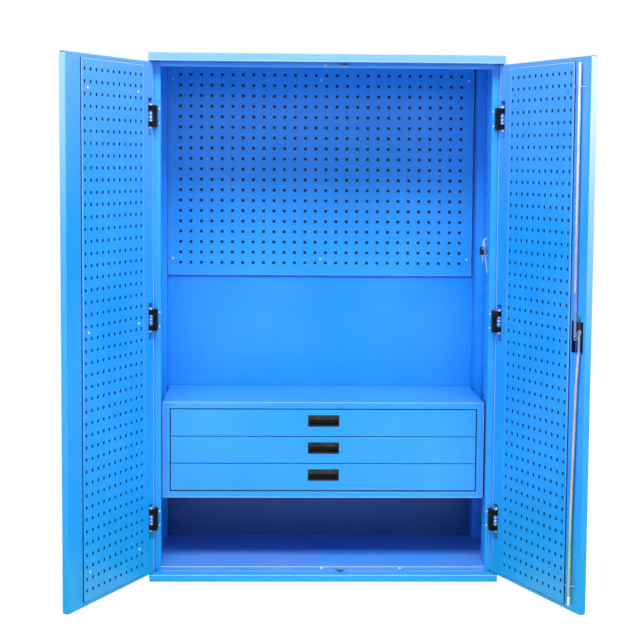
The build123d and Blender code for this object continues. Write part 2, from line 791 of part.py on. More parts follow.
def lower_lock_rod():
    """The lower rod slants from its fork to the line of the upper one, down to its plastic tip."""
    fork, z_fork = rod_fork(-1)
    dx, dz = cam_pin_offset()
    x_flat = lock_x - (dx + cam_r) / 2
    w = flat_w / 2
    flat = box(x_flat - w, x_flat + w, fork_y, fork_y + flat_t, lower_flat_z, z_fork - fork_h / 2 + over)
    z_tip = rod_bottom_z + tip_h
    points = [(x_flat, rod_y, lower_flat_z + over)]
    points += [(x, rod_y, z) for x, z in lower_bends]
    points += [(rod_x, rod_y, lower_straight_z), (rod_x, rod_y, z_tip)]
    path = FilletPolyline(*points, radius=rod_bend_r)
    rod = sweep(Plane(origin=points[0], z_dir=path % 0) * Circle(rod_d / 2), path=path)
    core = rod_z(rod_x, rod_y, z_tip - tip_core_h, z_tip + over, tip_core_d)
    return fork + flat + rod + core


def lower_rod_tip():
    """Plastic cap pushed over the end of the lower rod."""
    z_top = rod_bottom_z + tip_h
    tip = rod_z(rod_x, rod_y, rod_bottom_z, z_top, tip_d)
    tip = fillet(tip.faces().sort_by(Axis.Z)[0].edges(), rod_end_r)
    return tip - rod_z(rod_x, rod_y, z_top - tip_core_h, z_top + over, tip_core_d)


def rod_guide(z_mid, rise):
    """Bent wire staple over a rod, its two feet on the inner face of the door, fixed a little askew."""
    top = rod_y + max(rod_d, tip_d) / 2 + guide_play + guide_d / 2
    near = rod_d / 2 + guide_d / 2 + guide_room
    knee = door_in_y + guide_foot
    slope = rise / (guide_to_hinge + guide_to_edge)
    places = [
        (-guide_to_edge, door_in_y),
        (-guide_to_edge, knee),
        (-near, top),
        (near, top),
        (guide_to_hinge, knee),
        (guide_to_hinge, door_in_y),
    ]
    points = [(rod_x + dx, y, z_mid - slope * dx) for dx, y in places]
    path = FilletPolyline(*points, radius=guide_bend_r)
    return sweep(Plane(origin=points[0], z_dir=(0, 1, 0)) * Circle(guide_d / 2), path=path)


def rod_keeper(z0):
    """Tab on the frame with a hole for the end of a rod."""
    x0 = rod_x - keeper_w / 2
    part = box(x0, x0 + keeper_w, frame_y - keeper_out, frame_y, z0, z0 + keeper_t)
    part = fillet(part.faces().sort_by(Axis.Y)[0].edges().filter_by(Axis.Z), keeper_r)
    return part - rod_z(rod_x, rod_y, z0 - over, z0 + keeper_t + over, keeper_hole)


# Drawer case
unit_x = unit_w / 2
unit_y1 = unit_y0 + unit_d
open_x = unit_x - unit_side
open_z0 = unit_z0 + unit_edge
open_z1 = unit_z1 - unit_edge
drawer_pitch = (open_z1 - open_z0) / drawer_count
front_h = drawer_pitch - drawer_gap
slide_x1 = open_x - sheet_t
slide_x0 = slide_x1 - slide_t
box_x = slide_x0


def unit_shell():
    """Folded case round the drawers, open at the front."""
    outer = box(-unit_x, unit_x, unit_y0 + sheet_t, unit_y1, unit_z0, unit_z1)
    outer = fillet(outer.edges().filter_by(Axis.Y), fold_r)
    t = sheet_t
    return outer - box(-unit_x + t, unit_x - t, unit_y0, unit_y1 - t, unit_z0 + t, unit_z1 - t)


def unit_front_frame():
    """Border round the drawers, folded back all round, and as deep as the slides at its sides."""
    t = sheet_t
    y1 = unit_y0 + t
    outer = box(-unit_x, unit_x, unit_y0, y1, unit_z0, unit_z1)
    outer = fillet(outer.edges().filter_by(Axis.Y), fold_r)
    part = outer - box(-open_x, open_x, unit_y0 - over, y1 + over, open_z0, open_z1)
    for z0, z1 in ((open_z0 - t, open_z0), (open_z1, open_z1 + t)):
        part += box(-open_x, open_x, unit_y0, unit_y0 + unit_fold, z0, z1)
    for s in (-1, 1):
        part += box(s * open_x, s * (open_x - t), y1 - t, unit_y1 - t, open_z0, open_z1)
    return part


def unit_clip(y_mid):
    """Angle on the face of a post, under a corner of the drawer case."""
    top = unit_z0
    w = clip_w / 2
    leg = box(post_x - clip_t, post_x, y_mid - w, y_mid + w, top - clip_h, top)
    shelf = box(post_x - clip_out, post_x, y_mid - w, y_mid + w, top - clip_t, top)
    return leg + shelf


def drawer_z(i):
    """Bottom of the front of drawer i, counted from the top."""
    return open_z1 - drawer_pitch * (i + 1) + drawer_gap / 2


def slide_z(i):
    return drawer_z(i) + front_h / 2


def channel(x_web, x_lip, half_h, y0, y1, z):
    """A C section: upright web, and lips that reach to x_lip."""
    s = 1 if x_lip > x_web else -1
    web = box(x_web, x_web + s * slide_sheet, y0, y1, z - half_h, z + half_h)
    top = box(x_web, x_lip, y0, y1, z + half_h - slide_sheet, z + half_h)
    low = box(x_web, x_lip, y0, y1, z - half_h, z - half_h + slide_sheet)
    return web + top + low


slide_y0 = unit_y0 + drawer_pan_d + slide_back
slide_y1 = slide_y0 + slide_long


def slide_outer(z):
    return channel(slide_x1, slide_x0 + slide_sheet, slide_h / 2, slide_y0, slide_y1, z)


def slide_middle(z):
    step = slide_sheet + slide_play
    return channel(slide_x1 - step, slide_x0 + slide_sheet + slide_play, slide_h / 2 - step,
                   slide_y0, slide_y1, z)


def slide_inner(z):
    step = 2 * (slide_sheet + slide_play)
    return channel(slide_x0, slide_x1 - step, slide_h / 2 - step, slide_y0, slide_y1, z)


def both_sides(shape):
    return [shape, mirrored(shape)]


def drawer_box(i):
    """Open sheet box of drawer i, hung between its slides."""
    t = sheet_t
    z0 = drawer_z(i) + (front_h - drawer_box_h) / 2
    y0 = unit_y0 + drawer_pan_d
    y1 = y0 + drawer_box_d
    outer = box(-box_x, box_x, y0, y1, z0, z0 + drawer_box_h)
    return outer - box(-box_x + t, box_x - t, y0 + t, y1 - t, z0 + t, z0 + drawer_box_h + over)


def grip_middle(i):
    return drawer_z(i) + front_h / 2 + grip_up


def drawer_front(i):
    """Folded front of drawer i, with the opening for its grip."""
    x1 = open_x - drawer_gap / 2
    t = sheet_t
    z0 = drawer_z(i)
    z1 = z0 + front_h
    y1 = unit_y0 + drawer_pan_d
    outer = box(-x1, x1, unit_y0, y1, z0, z1)
    edges = outer.faces().sort_by(Axis.Y)[0].edges() + outer.edges().filter_by(Axis.Y)
    outer = fillet(edges, drawer_front_r)
    part = outer - box(-x1 + t, x1 - t, unit_y0 + t, y1 + over, z0 + t, z1 - t)
    gx = grip_w / 2 - grip_border + fit_gap
    gz = grip_h / 2 - grip_border + fit_gap
    zg = grip_middle(i)
    return part - box(-gx, gx, unit_y0 - over, unit_y0 + t + over, zg - gz, zg + gz)


def drawer_grip(i):
    """Moulded cup: a frame on the drawer front, a pocket behind it, and a hood above to pull on."""
    zg = grip_middle(i)
    w = grip_w / 2
    h = grip_h / 2
    y0 = unit_y0 - grip_lip
    y1 = unit_y0 + grip_deep
    frame = box(-w, w, y0, unit_y0, zg - h, zg + h)
    frame = fillet(frame.edges().filter_by(Axis.Y), grip_r)
    frame = fillet(frame.faces().sort_by(Axis.Y)[0].edges(), grip_edge_r)
    cx = w - grip_border
    cz = h - grip_border
    cup = box(-cx, cx, unit_y0 - over, y1, zg - cz, zg + cz)
    pocket_x = cx - grip_wall
    pocket_z0 = zg - cz + grip_wall
    pocket_z1 = zg + cz - grip_wall
    mouth = box(-pocket_x, pocket_x, y0 - over, y1 - grip_wall, pocket_z0, zg + h - grip_hood)
    behind = box(-pocket_x, pocket_x, y0 + grip_hood_t, y1 - grip_wall, pocket_z0, pocket_z1)
    return frame + cup - mouth - behind


# Spare keys: a pair on a string through a slot of the right front post
def key(offset):
    """One key, flat to the front, its plastic head above and its blade below."""
    y0 = keys_y + offset
    y1 = y0 + key_head_t
    y_mid = (y0 + y1) / 2
    z0 = key_head_z - key_head_h
    w = key_head_w / 2
    head = box(keys_x - w, keys_x + w, y0, y1, z0, key_head_z)
    head = fillet(head.faces().sort_by(Axis.Z)[-1].edges().filter_by(Axis.Y), key_shoulder_r)
    head = fillet(head.faces().sort_by(Axis.Z)[0].edges().filter_by(Axis.Y), key_foot_r)
    e = key_eye / 2
    eye_z = key_head_z - key_eye_in - e
    eye = box(keys_x - e, keys_x + e, y0 - over, y1 + over, eye_z - e, eye_z + e)
    head -= fillet(eye.edges().filter_by(Axis.Y), key_eye_r)
    bw = key_blade_w / 2
    bt = key_blade_t / 2
    blade = box(keys_x - bw, keys_x + bw, y_mid - bt, y_mid + bt, key_blade_z, z0 + over)
    blade = chamfer(blade.faces().sort_by(Axis.Z)[0].edges().filter_by(Axis.Y), key_point)
    for n in range(key_bites):
        z = key_blade_z + key_bite_in + key_bite_pitch * n
        size = key_bite * (1 - 0.2 * (n % 2))
        blade -= Pos(keys_x + bw, y_mid, z) * Rot(0, 45, 0) * Box(size, key_head_t, size)
    return head + blade


# Route of the string: from its tied end up through the slot and back, down behind the keys, through
# their eyes, up to the knot, and over it down to its loose end
string_points = [
    (551.6, -113.4, 1147.5),
    (552.0, -109.6, 1155.5),
    (554.5, -109.8, 1164.0),
    (560.0, -110.0, 1170.4),
    (571.5, -110.0, 1170.4),
    (571.5, -98.5, 1170.4),
    (560.5, -98.4, 1170.4),
    (553.0, -97.6, 1163.5),
    (549.6, -96.2, 1154.5),
    (549.4, -95.2, 1147.2),
    (550.0, -95.4, 1136.9),
    (550.2, -105.6, 1136.8),
    (550.0, -116.2, 1138.4),
    (550.2, -115.4, 1149.2),
    (551.8, -121.5, 1156.5),
    (553.2, -129.0, 1150.5),
    (553.8, -131.5, 1138.6),
    (553.5, -132.5, 1123.6),
    (554.4, -134.5, 1107.0),
    (556.4, -139.0, 1089.0),
    (558.0, -145.0, 1071.0),
    (559.2, -153.5, 1054.0),
]


def arc_radii(points):
    """Tangent radii of a limp string: 0.45 of the shorter run over the tangent of half the turn."""
    radii = []
    for a, b, c in zip(points, points[1:], points[2:]):
        u = Vector(*b) - Vector(*a)
        v = Vector(*c) - Vector(*b)
        half_turn = radians(u.get_angle(v)) / 2
        radii.append(0.45 * min(u.length, v.length) / tan(half_turn))
    print("string radii", [round(r, 1) for r in radii], "least", least_bend * string_d)
    return radii


def key_string():
    path = FilletPolyline(*string_points, radius=arc_radii(string_points))
    tube = sweep(Plane(origin=path @ 0, z_dir=path % 0) * Circle(string_d / 2), path=path)
    print("string length", round(path.length, 1), "volume over section times length",
          round(tube.volume / (pi * string_d ** 2 / 4 * path.length), 4))
    return tube


def build():
    save("top_cap", top_cap())
    save("base_plinth", base_plinth())
    panel = side_panel()
    save("right_side_panel", panel)
    save("left_side_panel", mirrored(panel))
    save("back_panel", back_panel())
    right_stile = stile()
    save("right_stile", right_stile)
    save("left_stile", mirrored(right_stile))
    top = header()
    save("header", top)
    save("floor_panel", floor_panel())
    rear = corner_post(rear_post_y0, rear_post_w)
    front = corner_post(front_post_y, front_post_w)
    save("rear_right_post", rear)
    save("rear_left_post", mirrored(rear))
    save("front_right_post", front)
    save("front_left_post", mirrored(front))
    save("back_sheet", back_sheet())
    save("panel_screws", *panel_screws())
    save("rod_keepers", rod_keeper(header_z + keeper_in), rod_keeper(floor_z - keeper_in - keeper_t))

    right_blocks = [hinge_block(z) for z in hinge_zs]
    pins = [hinge_pin(z) for z in hinge_zs]
    plates = [backing_plate(z) for z in hinge_zs]
    screws = [s for z in hinge_zs for s in hinge_screws(z)]
    save("hinge_blocks", *right_blocks, *[mirrored(b) for b in right_blocks])
    save("hinge_pins", *pins, *[mirrored(p) for p in pins])
    save("hinge_backing_plates", *plates, *[mirrored(p) for p in plates])
    save("hinge_screws", *screws, *[mirrored(s) for s in screws])

    save("unit_shell", unit_shell())
    save("unit_front_frame", unit_front_frame())
    clips = [unit_clip(y) for y in (front_post_y + front_post_w / 2, rear_post_y0 + rear_post_w / 2)]
    save("unit_clips", *[c for clip in clips for c in both_sides(clip)])
    rails = [slide_outer(slide_z(i)) for i in range(drawer_count)]
    save("slide_outer_members", *[s for rail in rails for s in both_sides(rail)])
    for i in range(drawer_count):
        n = i + 1
        save(f"drawer_{n}_slide_middle", *both_sides(slide_middle(slide_z(i))))
        save(f"drawer_{n}_slide_inner", *both_sides(slide_inner(slide_z(i))))
        save(f"drawer_{n}_box", drawer_box(i))
        save(f"drawer_{n}_front", drawer_front(i))
        save(f"drawer_{n}_grip", drawer_grip(i))

    sheet = door_sheet()
    door_fasteners = door_screws()
    leaves = [hinge_leaf(z) for z in hinge_zs]
    save("right_door_shell", on_right_door(door_shell(True)))
    save("left_door_shell", on_left_door(mirrored(door_shell(False))))
    save("right_door_sheet", on_right_door(sheet))
    save("left_door_sheet", on_left_door(mirrored(sheet)))
    save("right_door_screws", *[on_right_door(s) for s in door_fasteners])
    save("left_door_screws", *[on_left_door(mirrored(s)) for s in door_fasteners])
    save("right_hinge_leaves", *[on_right_door(f) for f in leaves])
    save("left_hinge_leaves", *[on_left_door(mirrored(f)) for f in leaves])

    save("rod_guides", *[on_right_door(rod_guide(z, rise)) for z, rise in guide_places])
    save("lock_body", on_right_door(lock_body()))
    save("lock_clamp", on_right_door(lock_clamp()))
    save("handle_plate", on_right_door(handle_plate()))
    save("door_handle", on_right_door(door_handle()))
    save("key_cylinder", on_right_door(key_cylinder()))
    save("lock_cam", on_right_door(lock_cam()))
    save("upper_lock_rod", on_right_door(upper_lock_rod()))
    save("lower_lock_rod", on_right_door(lower_lock_rod()))
    save("lower_rod_tip", on_right_door(lower_rod_tip()))
    save("spare_keys", key(0.0), key(key_head_t + fit_gap))
    save("key_string", key_string())
    print("rod travel", round(rod_travel, 3), "mm in", turn, "degrees")


build()
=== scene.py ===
import math

import bmesh
import bpy
from mathutils import Euler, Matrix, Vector


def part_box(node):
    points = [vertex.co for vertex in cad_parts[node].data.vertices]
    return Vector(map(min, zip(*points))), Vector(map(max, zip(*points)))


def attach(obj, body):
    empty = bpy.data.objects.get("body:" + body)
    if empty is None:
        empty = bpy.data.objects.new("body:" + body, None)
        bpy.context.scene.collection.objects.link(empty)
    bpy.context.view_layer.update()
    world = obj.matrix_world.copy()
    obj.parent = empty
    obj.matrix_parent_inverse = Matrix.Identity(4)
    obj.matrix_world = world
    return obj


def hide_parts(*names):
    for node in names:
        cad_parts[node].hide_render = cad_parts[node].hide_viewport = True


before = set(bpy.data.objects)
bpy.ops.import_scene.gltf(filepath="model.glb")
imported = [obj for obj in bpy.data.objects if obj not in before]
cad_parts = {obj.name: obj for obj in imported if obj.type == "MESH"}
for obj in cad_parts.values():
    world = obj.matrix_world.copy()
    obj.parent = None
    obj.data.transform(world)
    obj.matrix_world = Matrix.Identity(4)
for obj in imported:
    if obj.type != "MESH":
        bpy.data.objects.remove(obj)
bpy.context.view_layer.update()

# Every length is in metres, in the cabinet's own frame: +Z up, +X right, +Y to the back.
# Colours are linear red, green and blue. Angles are in degrees.

# Camera, solved on the hole grids of the tool sheets
CAMERA_PLACE = (-0.19676, -5.96068, 1.43143)
CAMERA_TURN = (-5.3572, -0.4395, -1.7498)   # pitch, roll and yaw from looking along +Y
CAMERA_LENS = 95.293                        # millimetres
CAMERA_SENSOR = 36.0                        # width in millimetres
CAMERA_REACH = 100.0

# Spare keys and their string, as in the model
STRING_DIAMETER = 0.0015
KEY_NECK_Z = 1.112                          # black heads above, blades below
STRING_POINTS = [
    (0.5516, -0.1134, 1.1475),
    (0.5520, -0.1096, 1.1555),
    (0.5545, -0.1098, 1.1640),
    (0.5600, -0.1100, 1.1704),
    (0.5715, -0.1100, 1.1704),
    (0.5715, -0.0985, 1.1704),
    (0.5605, -0.0984, 1.1704),
    (0.5530, -0.0976, 1.1635),
    (0.5496, -0.0962, 1.1545),
    (0.5494, -0.0952, 1.1472),
    (0.5500, -0.0954, 1.1369),
    (0.5502, -0.1056, 1.1368),
    (0.5500, -0.1162, 1.1384),
    (0.5502, -0.1154, 1.1492),
    (0.5518, -0.1215, 1.1565),
    (0.5532, -0.1290, 1.1505),
    (0.5538, -0.1315, 1.1386),
    (0.5535, -0.1325, 1.1236),
    (0.5544, -0.1345, 1.1070),
    (0.5564, -0.1390, 1.0890),
    (0.5580, -0.1450, 1.0710),
    (0.5592, -0.1535, 1.0540),
]

# Doors: how they stand open at rest, and their parts, with x and y counted from the pin of a closed door
DOOR_PIN = (0.5885, -0.2605)                # the right door's pin in the cabinet; the left one mirrors it
DOOR_OPEN = {"left": -112.7, "right": 109.9}
DOOR_INSIDE_X = {"left": (0.045, 0.5828), "right": (0.045, 0.490)}
DOOR_INSIDE_Y = (-0.0139, 0.0052)           # hollow between the skin and the sheet, which gets painted shade
DOOR_INSIDE_Z = (0.026, 1.757)
FREE_EDGE_X = (0.5826, 0.5834)              # just under the narrow face at the free edge
FREE_EDGE_Z = (0.80, 1.70)                  # painted highlight, growing from the first height to the second
FREE_EDGE_HIGHLIGHT = {"left": 0.10, "right": 0.48}
SHEET_X = (0.070, 0.491)                    # square-holed sheet
SHEET_FACE_Y = (0.0102, 0.0103)             # just under the sheet's front
SHEET_RIM_X = (0.004, 0.0055)               # painted highlight band at the hinge side and at the free edge
SHEET_RIM_Z = 0.0035                        # the same band above and below
SHEET_RIM_RISE = (0.25, 0.95)               # the band is weak below the first height, full above the second
SHEET_RIM_WEAK = 0.1
SHEET_RIM_HIGHLIGHT = 0.38
BARREL_X = (0.008, 0.009)                   # a hinge's barrel ends here and its leaf begins
BARREL_WAVE = 520.0                         # painted glint bands, in radians for each metre of height
BARREL_CREST = (-0.2, 0.4)                  # part of the wave that counts as a band
BARREL_GLINT = 0.6

# Carcass and drawer case, with each y counted backwards from a face
BACK_SHEET_BORDER = 0.020                   # the back sheet's border, which has no holes
BACK_SHEET_HOLE_Y = (0.0002, 0.0003)        # from the sheet's front: the walls of its holes begin
BACK_SHEET_INSET = 0.004                    # the wall behind the sheet is dark from here inwards
BACK_WALL_NEAR_Y = (0.0005, 0.0007)         # from the sheet's back: just past the wall's inner face
BACK_WALL_SHADE = 0.60
BACK_WALL_SHADE_Y = (-0.0008, -0.0006)      # from the wall's back: again just past its inner face
BACK_WALL_SHADE_Z = (0.33, 0.26)            # the wall darkens downwards between these heights
RIM_WIDTH = 0.0026                          # bright band along a front face's outline
RIM_SOFT = 0.0006                           # blur of its inner edge
RIM_Y = (0.003, 0.004)                      # from the front face: the band ends
FRAME_LINE = 0.0042                         # painted shade line on the case's frame round the drawer fronts
FRAME_FOLD_Y = (0.0009, 0.0011)             # from the frame's front: its folds begin
GRIP_CUP_Y = (0.0010, 0.0020)               # from the drawer's front: the grip's frame ends, its cup begins
EDGE_SOFT = 0.0002                          # blur of a mask's edge, to each side

# Powder coat
COAT_DARKER = 0.93                          # darker tone of the mottling
COAT_LIGHTER = 0.025                        # share of white in its lighter tone
COAT_ROUGH = (0.28, 0.35)
HAZE_BETWEEN = 0.15                         # share of the dust that lies between the smears
PAINTED_LIGHT_Z = (1.20, 1.80)                       # painted light from above: paler upwards between these heights
REFLECTED_LIGHT_Z = (0.60, 0.05)                       # painted reflected light: greener downwards between these
GLOSS = 0.5
GLOSS_Z = (0.80, 0.10)                      # the gloss changes downwards between these
GAP_REACH = 0.016                           # painted shade in gaps and corners this near to another face
GAP_OPENNESS = (0.05, 0.70)                 # ambient occlusion in a dark gap and on an open face
GAP_SHARE = 0.85

# Colours of the paint
AZURE = (0.012, 0.330, 0.930)
AZURE_CAP = (0.012, 0.270, 0.930)
AZURE_BACK = (0.014, 0.385, 0.930)
# lighter azure for the header, as painted light
AZURE_PAINTED_LIT = (0.040, 0.430, 0.980)
PALE_BLUE = (0.30, 0.42, 0.90)
# lavender of painted light and painted highlights
PAINTED_LIGHT_LAVENDER = (0.480, 0.560, 1.000)
REFLECTED_TEAL = (0.004, 0.345, 0.610)
DUST = (0.200, 0.300, 0.720)
# near white of painted highlights
PAINTED_HIGHLIGHT_COLOUR = (0.800, 0.860, 1.000)
SHADE = (0.003, 0.010, 0.050)
# dark blue of painted shade in gaps, holes and door hollows
GAP_SHADE = (0.002, 0.028, 0.150)

# Lock rods
ROD_TOP_Z = (1.10, 1.70)                    # painted highlight: the steel gets brighter upwards between these heights
ROD_FOOT_Z = (0.60, 0.20)                   # painted reflection: yellow-green downwards between these
ROD_FOOT_REFLECTION_SHARE = 0.8

# Any noise
NOISE_SPAN = (0.3, 0.7)                     # where most of its values lie

# Colours of metals and plastics
ZINC = (0.66, 0.66, 0.67)
# near-white zinc on screws and pins, as painted glints
SCREW_GLINT_WHITE = (0.90, 0.90, 0.91)
CHROMATE = (0.62, 0.56, 0.26)
OLIVE = (0.20, 0.24, 0.15)
ROD_DARK = (0.50, 0.42, 0.42)
ROD_LIGHT = (0.80, 0.70, 0.70)
ROD_TOP_HIGHLIGHT = (0.95, 0.90, 0.92)
ROD_FOOT_REFLECTION = (0.40, 0.52, 0.20)
NICKEL_DARK = (0.55, 0.54, 0.52)
NICKEL_LIGHT = (0.78, 0.77, 0.75)
KEY_HEAD = (0.012, 0.012, 0.013)
BLACK_PLASTIC = (0.005, 0.005, 0.006)
WHITE_PLASTIC = (0.80, 0.80, 0.78)
GRIP_DARK = (0.014, 0.013, 0.012)
GRIP_RUBBED = (0.040, 0.038, 0.032)
GRIP_CUP_SHADE = (0.002, 0.002, 0.004)
BLACK_PAINT = (0.003, 0.002, 0.002)
BLACK_PAINT_WORN = (0.028, 0.014, 0.010)
THREAD_DARK = (0.92, 0.91, 0.89)
THREAD_LIGHT = (1.0, 1.0, 0.99)

# Stage
FLOOR_REACH = 60.0
FLOOR_DARK = (0.74, 0.74, 0.74)
FLOOR_LIGHT = (0.78, 0.78, 0.78)
FLOOR_GLOW = 1.13
FLOOR_GLOW_SHARE = 0.88                     # how much of the floor the camera sees as glow
WORLD_LIGHT = 0.05
WORLD_IN_GLOSS = 0.55                       # how bright the white world is in reflections
# Name, place, target, width and height, watts, strength on matt surfaces, strength of glints
LAMPS = [
    ("top", (0.0, -2.8, 4.4), (0.0, -0.2, 0.6), (4.0, 1.6), 290.0, 1.0, 1.0),
    ("left", (-4.2, -3.4, 2.5), (0.3, -0.4, 0.9), (1.6, 2.6), 66.0, 1.0, 1.0),
    ("right", (4.2, -3.4, 3.1), (-0.3, -0.4, 0.9), (1.6, 2.6), 84.0, 1.0, 5.0),
    ("front", (0.2, -6.9, 3.0), (0.0, 0.0, 1.6), (4.5, 1.2), 36.0, 0.10, 1.0),
    ("back", (0.0, 5.5, 3.4), (0.0, 0.3, 0.9), (4.0, 2.0), 150.0, 1.0, 1.0),
]


# Node helpers
def scaled(colour, factor):
    return tuple(min(1.0, c * factor) for c in colour)


class Graph:
    """A material's node tree, with short calls for the nodes used here."""

    def __init__(self, name):
        self.material = bpy.data.materials.new(name)
        self.material.use_nodes = True
        self.nodes = self.material.node_tree.nodes
        self.links = self.material.node_tree.links
        self.shader = self.nodes["Principled BSDF"]
        self.output = self.nodes["Material Output"]

    def link(self, source, target):
        self.links.new(source, target)

    def put(self, value, socket):
        """A link from another socket, or a plain value."""
        if isinstance(value, bpy.types.NodeSocket):
            self.link(value, socket)
        else:
            socket.default_value = value

    def place(self):
        """The cabinet's own coordinates, which move with the piece."""
        return self.nodes.new("ShaderNodeTexCoord").outputs["Object"]

    def axes(self, vector=None):
        """X, Y and Z of the cabinet's own coordinates, or of another vector."""
        node = self.nodes.new("ShaderNodeSeparateXYZ")
        self.link(vector or self.place(), node.inputs[0])
        return node.outputs

    def stretched(self, scale):
        mapping = self.nodes.new("ShaderNodeMapping")
        mapping.inputs["Scale"].default_value = scale
        self.link(self.place(), mapping.inputs["Vector"])
        return mapping.outputs["Vector"]

    def noise(self, scale, detail, vector=None, roughness=0.5):
        node = self.nodes.new("ShaderNodeTexNoise")
        node.inputs["Scale"].default_value = scale
        node.inputs["Detail"].default_value = detail
        node.inputs["Roughness"].default_value = roughness
        self.link(vector or self.place(), node.inputs["Vector"])
        return node.outputs["Fac"]

    def ramp(self, value, low, high, at_low=0.0, at_high=1.0):
        """A straight change from at_low to at_high, level outside low and high."""
        node = self.nodes.new("ShaderNodeMapRange")
        node.inputs["From Min"].default_value = low
        node.inputs["From Max"].default_value = high
        node.inputs["To Min"].default_value = at_low
        node.inputs["To Max"].default_value = at_high
        self.link(value, node.inputs["Value"])
        return node.outputs["Result"]

    def mix(self, factor, a, b):
        """Colour a where factor is 0 and b where it is 1."""
        node = self.nodes.new("ShaderNodeMix")
        node.data_type = "RGBA"
        self.link(factor, node.inputs["Factor"])
        for value, socket in ((a, node.inputs["A"]), (b, node.inputs["B"])):
            self.put((*value, 1.0) if isinstance(value, tuple) else value, socket)
        return node.outputs["Result"]

    def math(self, operation, a, b=0.0):
        node = self.nodes.new("ShaderNodeMath")
        node.operation = operation
        self.put(a, node.inputs[0])
        self.put(b, node.inputs[1])
        return node.outputs[0]

    def product(self, first, *others):
        """1 where every mask is 1, or a mask times a share."""
        for other in others:
            first = self.math("MULTIPLY", first, other)
        return first

    def uneven(self, noise, low, high):
        """A noise as values from low to high."""
        return self.ramp(noise, *NOISE_SPAN, low, high)

    def between(self, value, low, high, soft=EDGE_SOFT):
        """1 where the value lies between low and high."""
        rise = self.ramp(value, low - soft, low + soft)
        fall = self.ramp(value, high - soft, high + soft, 1.0, 0.0)
        return self.product(rise, fall)

    def within(self, axes, box, inset, soft=EDGE_SOFT):
        """1 inside the outline that a box shows to the front, less an inset."""
        low, high = box
        across = self.between(axes["X"], low[0] + inset, high[0] - inset, soft)
        up = self.between(axes["Z"], low[2] + inset, high[2] - inset, soft)
        return self.product(across, up)

    def behind(self, axes, face, depth, at_face=0.0, at_back=1.0):
        """A change from at_face to at_back between two depths behind a face."""
        return self.ramp(axes["Y"], face + depth[0], face + depth[1], at_face, at_back)

    def closed_in(self):
        """1 in gaps, holes and tight corners, 0 on open faces: the mask for painted shade."""
        node = self.nodes.new("ShaderNodeAmbientOcclusion")
        node.samples = 4
        node.inputs["Distance"].default_value = GAP_REACH
        return self.ramp(node.outputs["AO"], *GAP_OPENNESS, 1.0, 0.0)

    def bump(self, value, strength, distance):
        node = self.nodes.new("ShaderNodeBump")
        node.inputs["Strength"].default_value = strength
        node.inputs["Distance"].default_value = distance
        self.link(value, node.inputs["Height"])
        self.link(node.outputs["Normal"], self.shader.inputs["Normal"])

    def colour(self, socket):
        self.link(socket, self.shader.inputs["Base Color"])

    def roughness(self, value):
        self.put(value, self.shader.inputs["Roughness"])

    def metallic(self, value):
        self.put(value, self.shader.inputs["Metallic"])

    def gloss(self, value):
        self.put(value, self.shader.inputs["Specular IOR Level"])


# Masks on the doors
def door_axes(g, side):
    """Distance from the door's pin, depth from the pin and height, as if the door were closed."""
    sign = 1.0 if side == "right" else -1.0
    turned = g.nodes.new("ShaderNodeMapping")
    turned.vector_type = "TEXTURE"
    turned.inputs["Location"].default_value = (sign * DOOR_PIN[0], DOOR_PIN[1], 0.0)
    turned.inputs["Rotation"].default_value = (0.0, 0.0, math.radians(DOOR_OPEN[side]))
    turned.inputs["Scale"].default_value = (-sign, 1.0, 1.0)
    g.link(g.place(), turned.inputs["Vector"])
    return g.axes(turned.outputs["Vector"])


def door_hollow_shade(g, side):
    """1 in the hollow between a door's skin and its square-holed sheet, where shade is painted."""
    axes = door_axes(g, side)
    across = g.between(axes["X"], *DOOR_INSIDE_X[side])
    deep = g.between(axes["Y"], *DOOR_INSIDE_Y)
    return g.product(across, deep, g.between(axes["Z"], *DOOR_INSIDE_Z))


def free_edge_highlight(g, side):
    """Share of painted highlight on the narrow face at a door's free edge, more of it higher up."""
    axes = door_axes(g, side)
    face = g.ramp(axes["X"], *FREE_EDGE_X)
    return g.product(face, g.ramp(axes["Z"], *FREE_EDGE_Z, 0.0, FREE_EDGE_HIGHLIGHT[side]))


def door_sheet_hole_shade(g, side):
    """1 on the walls of the square holes, on the folds and on the back of a door's sheet, where shade is
    painted.
    """
    return g.ramp(door_axes(g, side)["Y"], *SHEET_FACE_Y, 1.0, 0.0)


def door_sheet_rim_highlight(g, side):
    """Share of painted highlight along the outline of a door's sheet, little of it low down."""
    axes = door_axes(g, side)
    low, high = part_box(f"{side}_door_sheet")
    across = g.between(axes["X"], SHEET_X[0] + SHEET_RIM_X[0], SHEET_X[1] - SHEET_RIM_X[1])
    up = g.between(axes["Z"], low[2] + SHEET_RIM_Z, high[2] - SHEET_RIM_Z)
    rim = g.ramp(g.product(across, up), 1.0, 0.0, 0.0, SHEET_RIM_HIGHLIGHT)
    return g.product(rim, g.ramp(axes["Z"], *SHEET_RIM_RISE, SHEET_RIM_WEAK, 1.0))


def barrel_glint_bands(g, side):
    """Share of painted glints in bands round a hinge's barrel, none on its leaf."""
    axes = door_axes(g, side)
    wave = g.math("SINE", g.product(axes["Z"], BARREL_WAVE))
    return g.product(g.ramp(axes["X"], *BARREL_X, BARREL_GLINT, 0.0), g.ramp(wave, *BARREL_CREST))


# Masks on the carcass and the drawer case
def back_sheet_hole_shade(g):
    """1 on the walls of the square holes and on the back of the back sheet, where shade is painted."""
    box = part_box("back_sheet")
    axes = g.axes()
    return g.product(g.within(axes, box, BACK_SHEET_BORDER), g.behind(axes, box[0][1], BACK_SHEET_HOLE_Y))


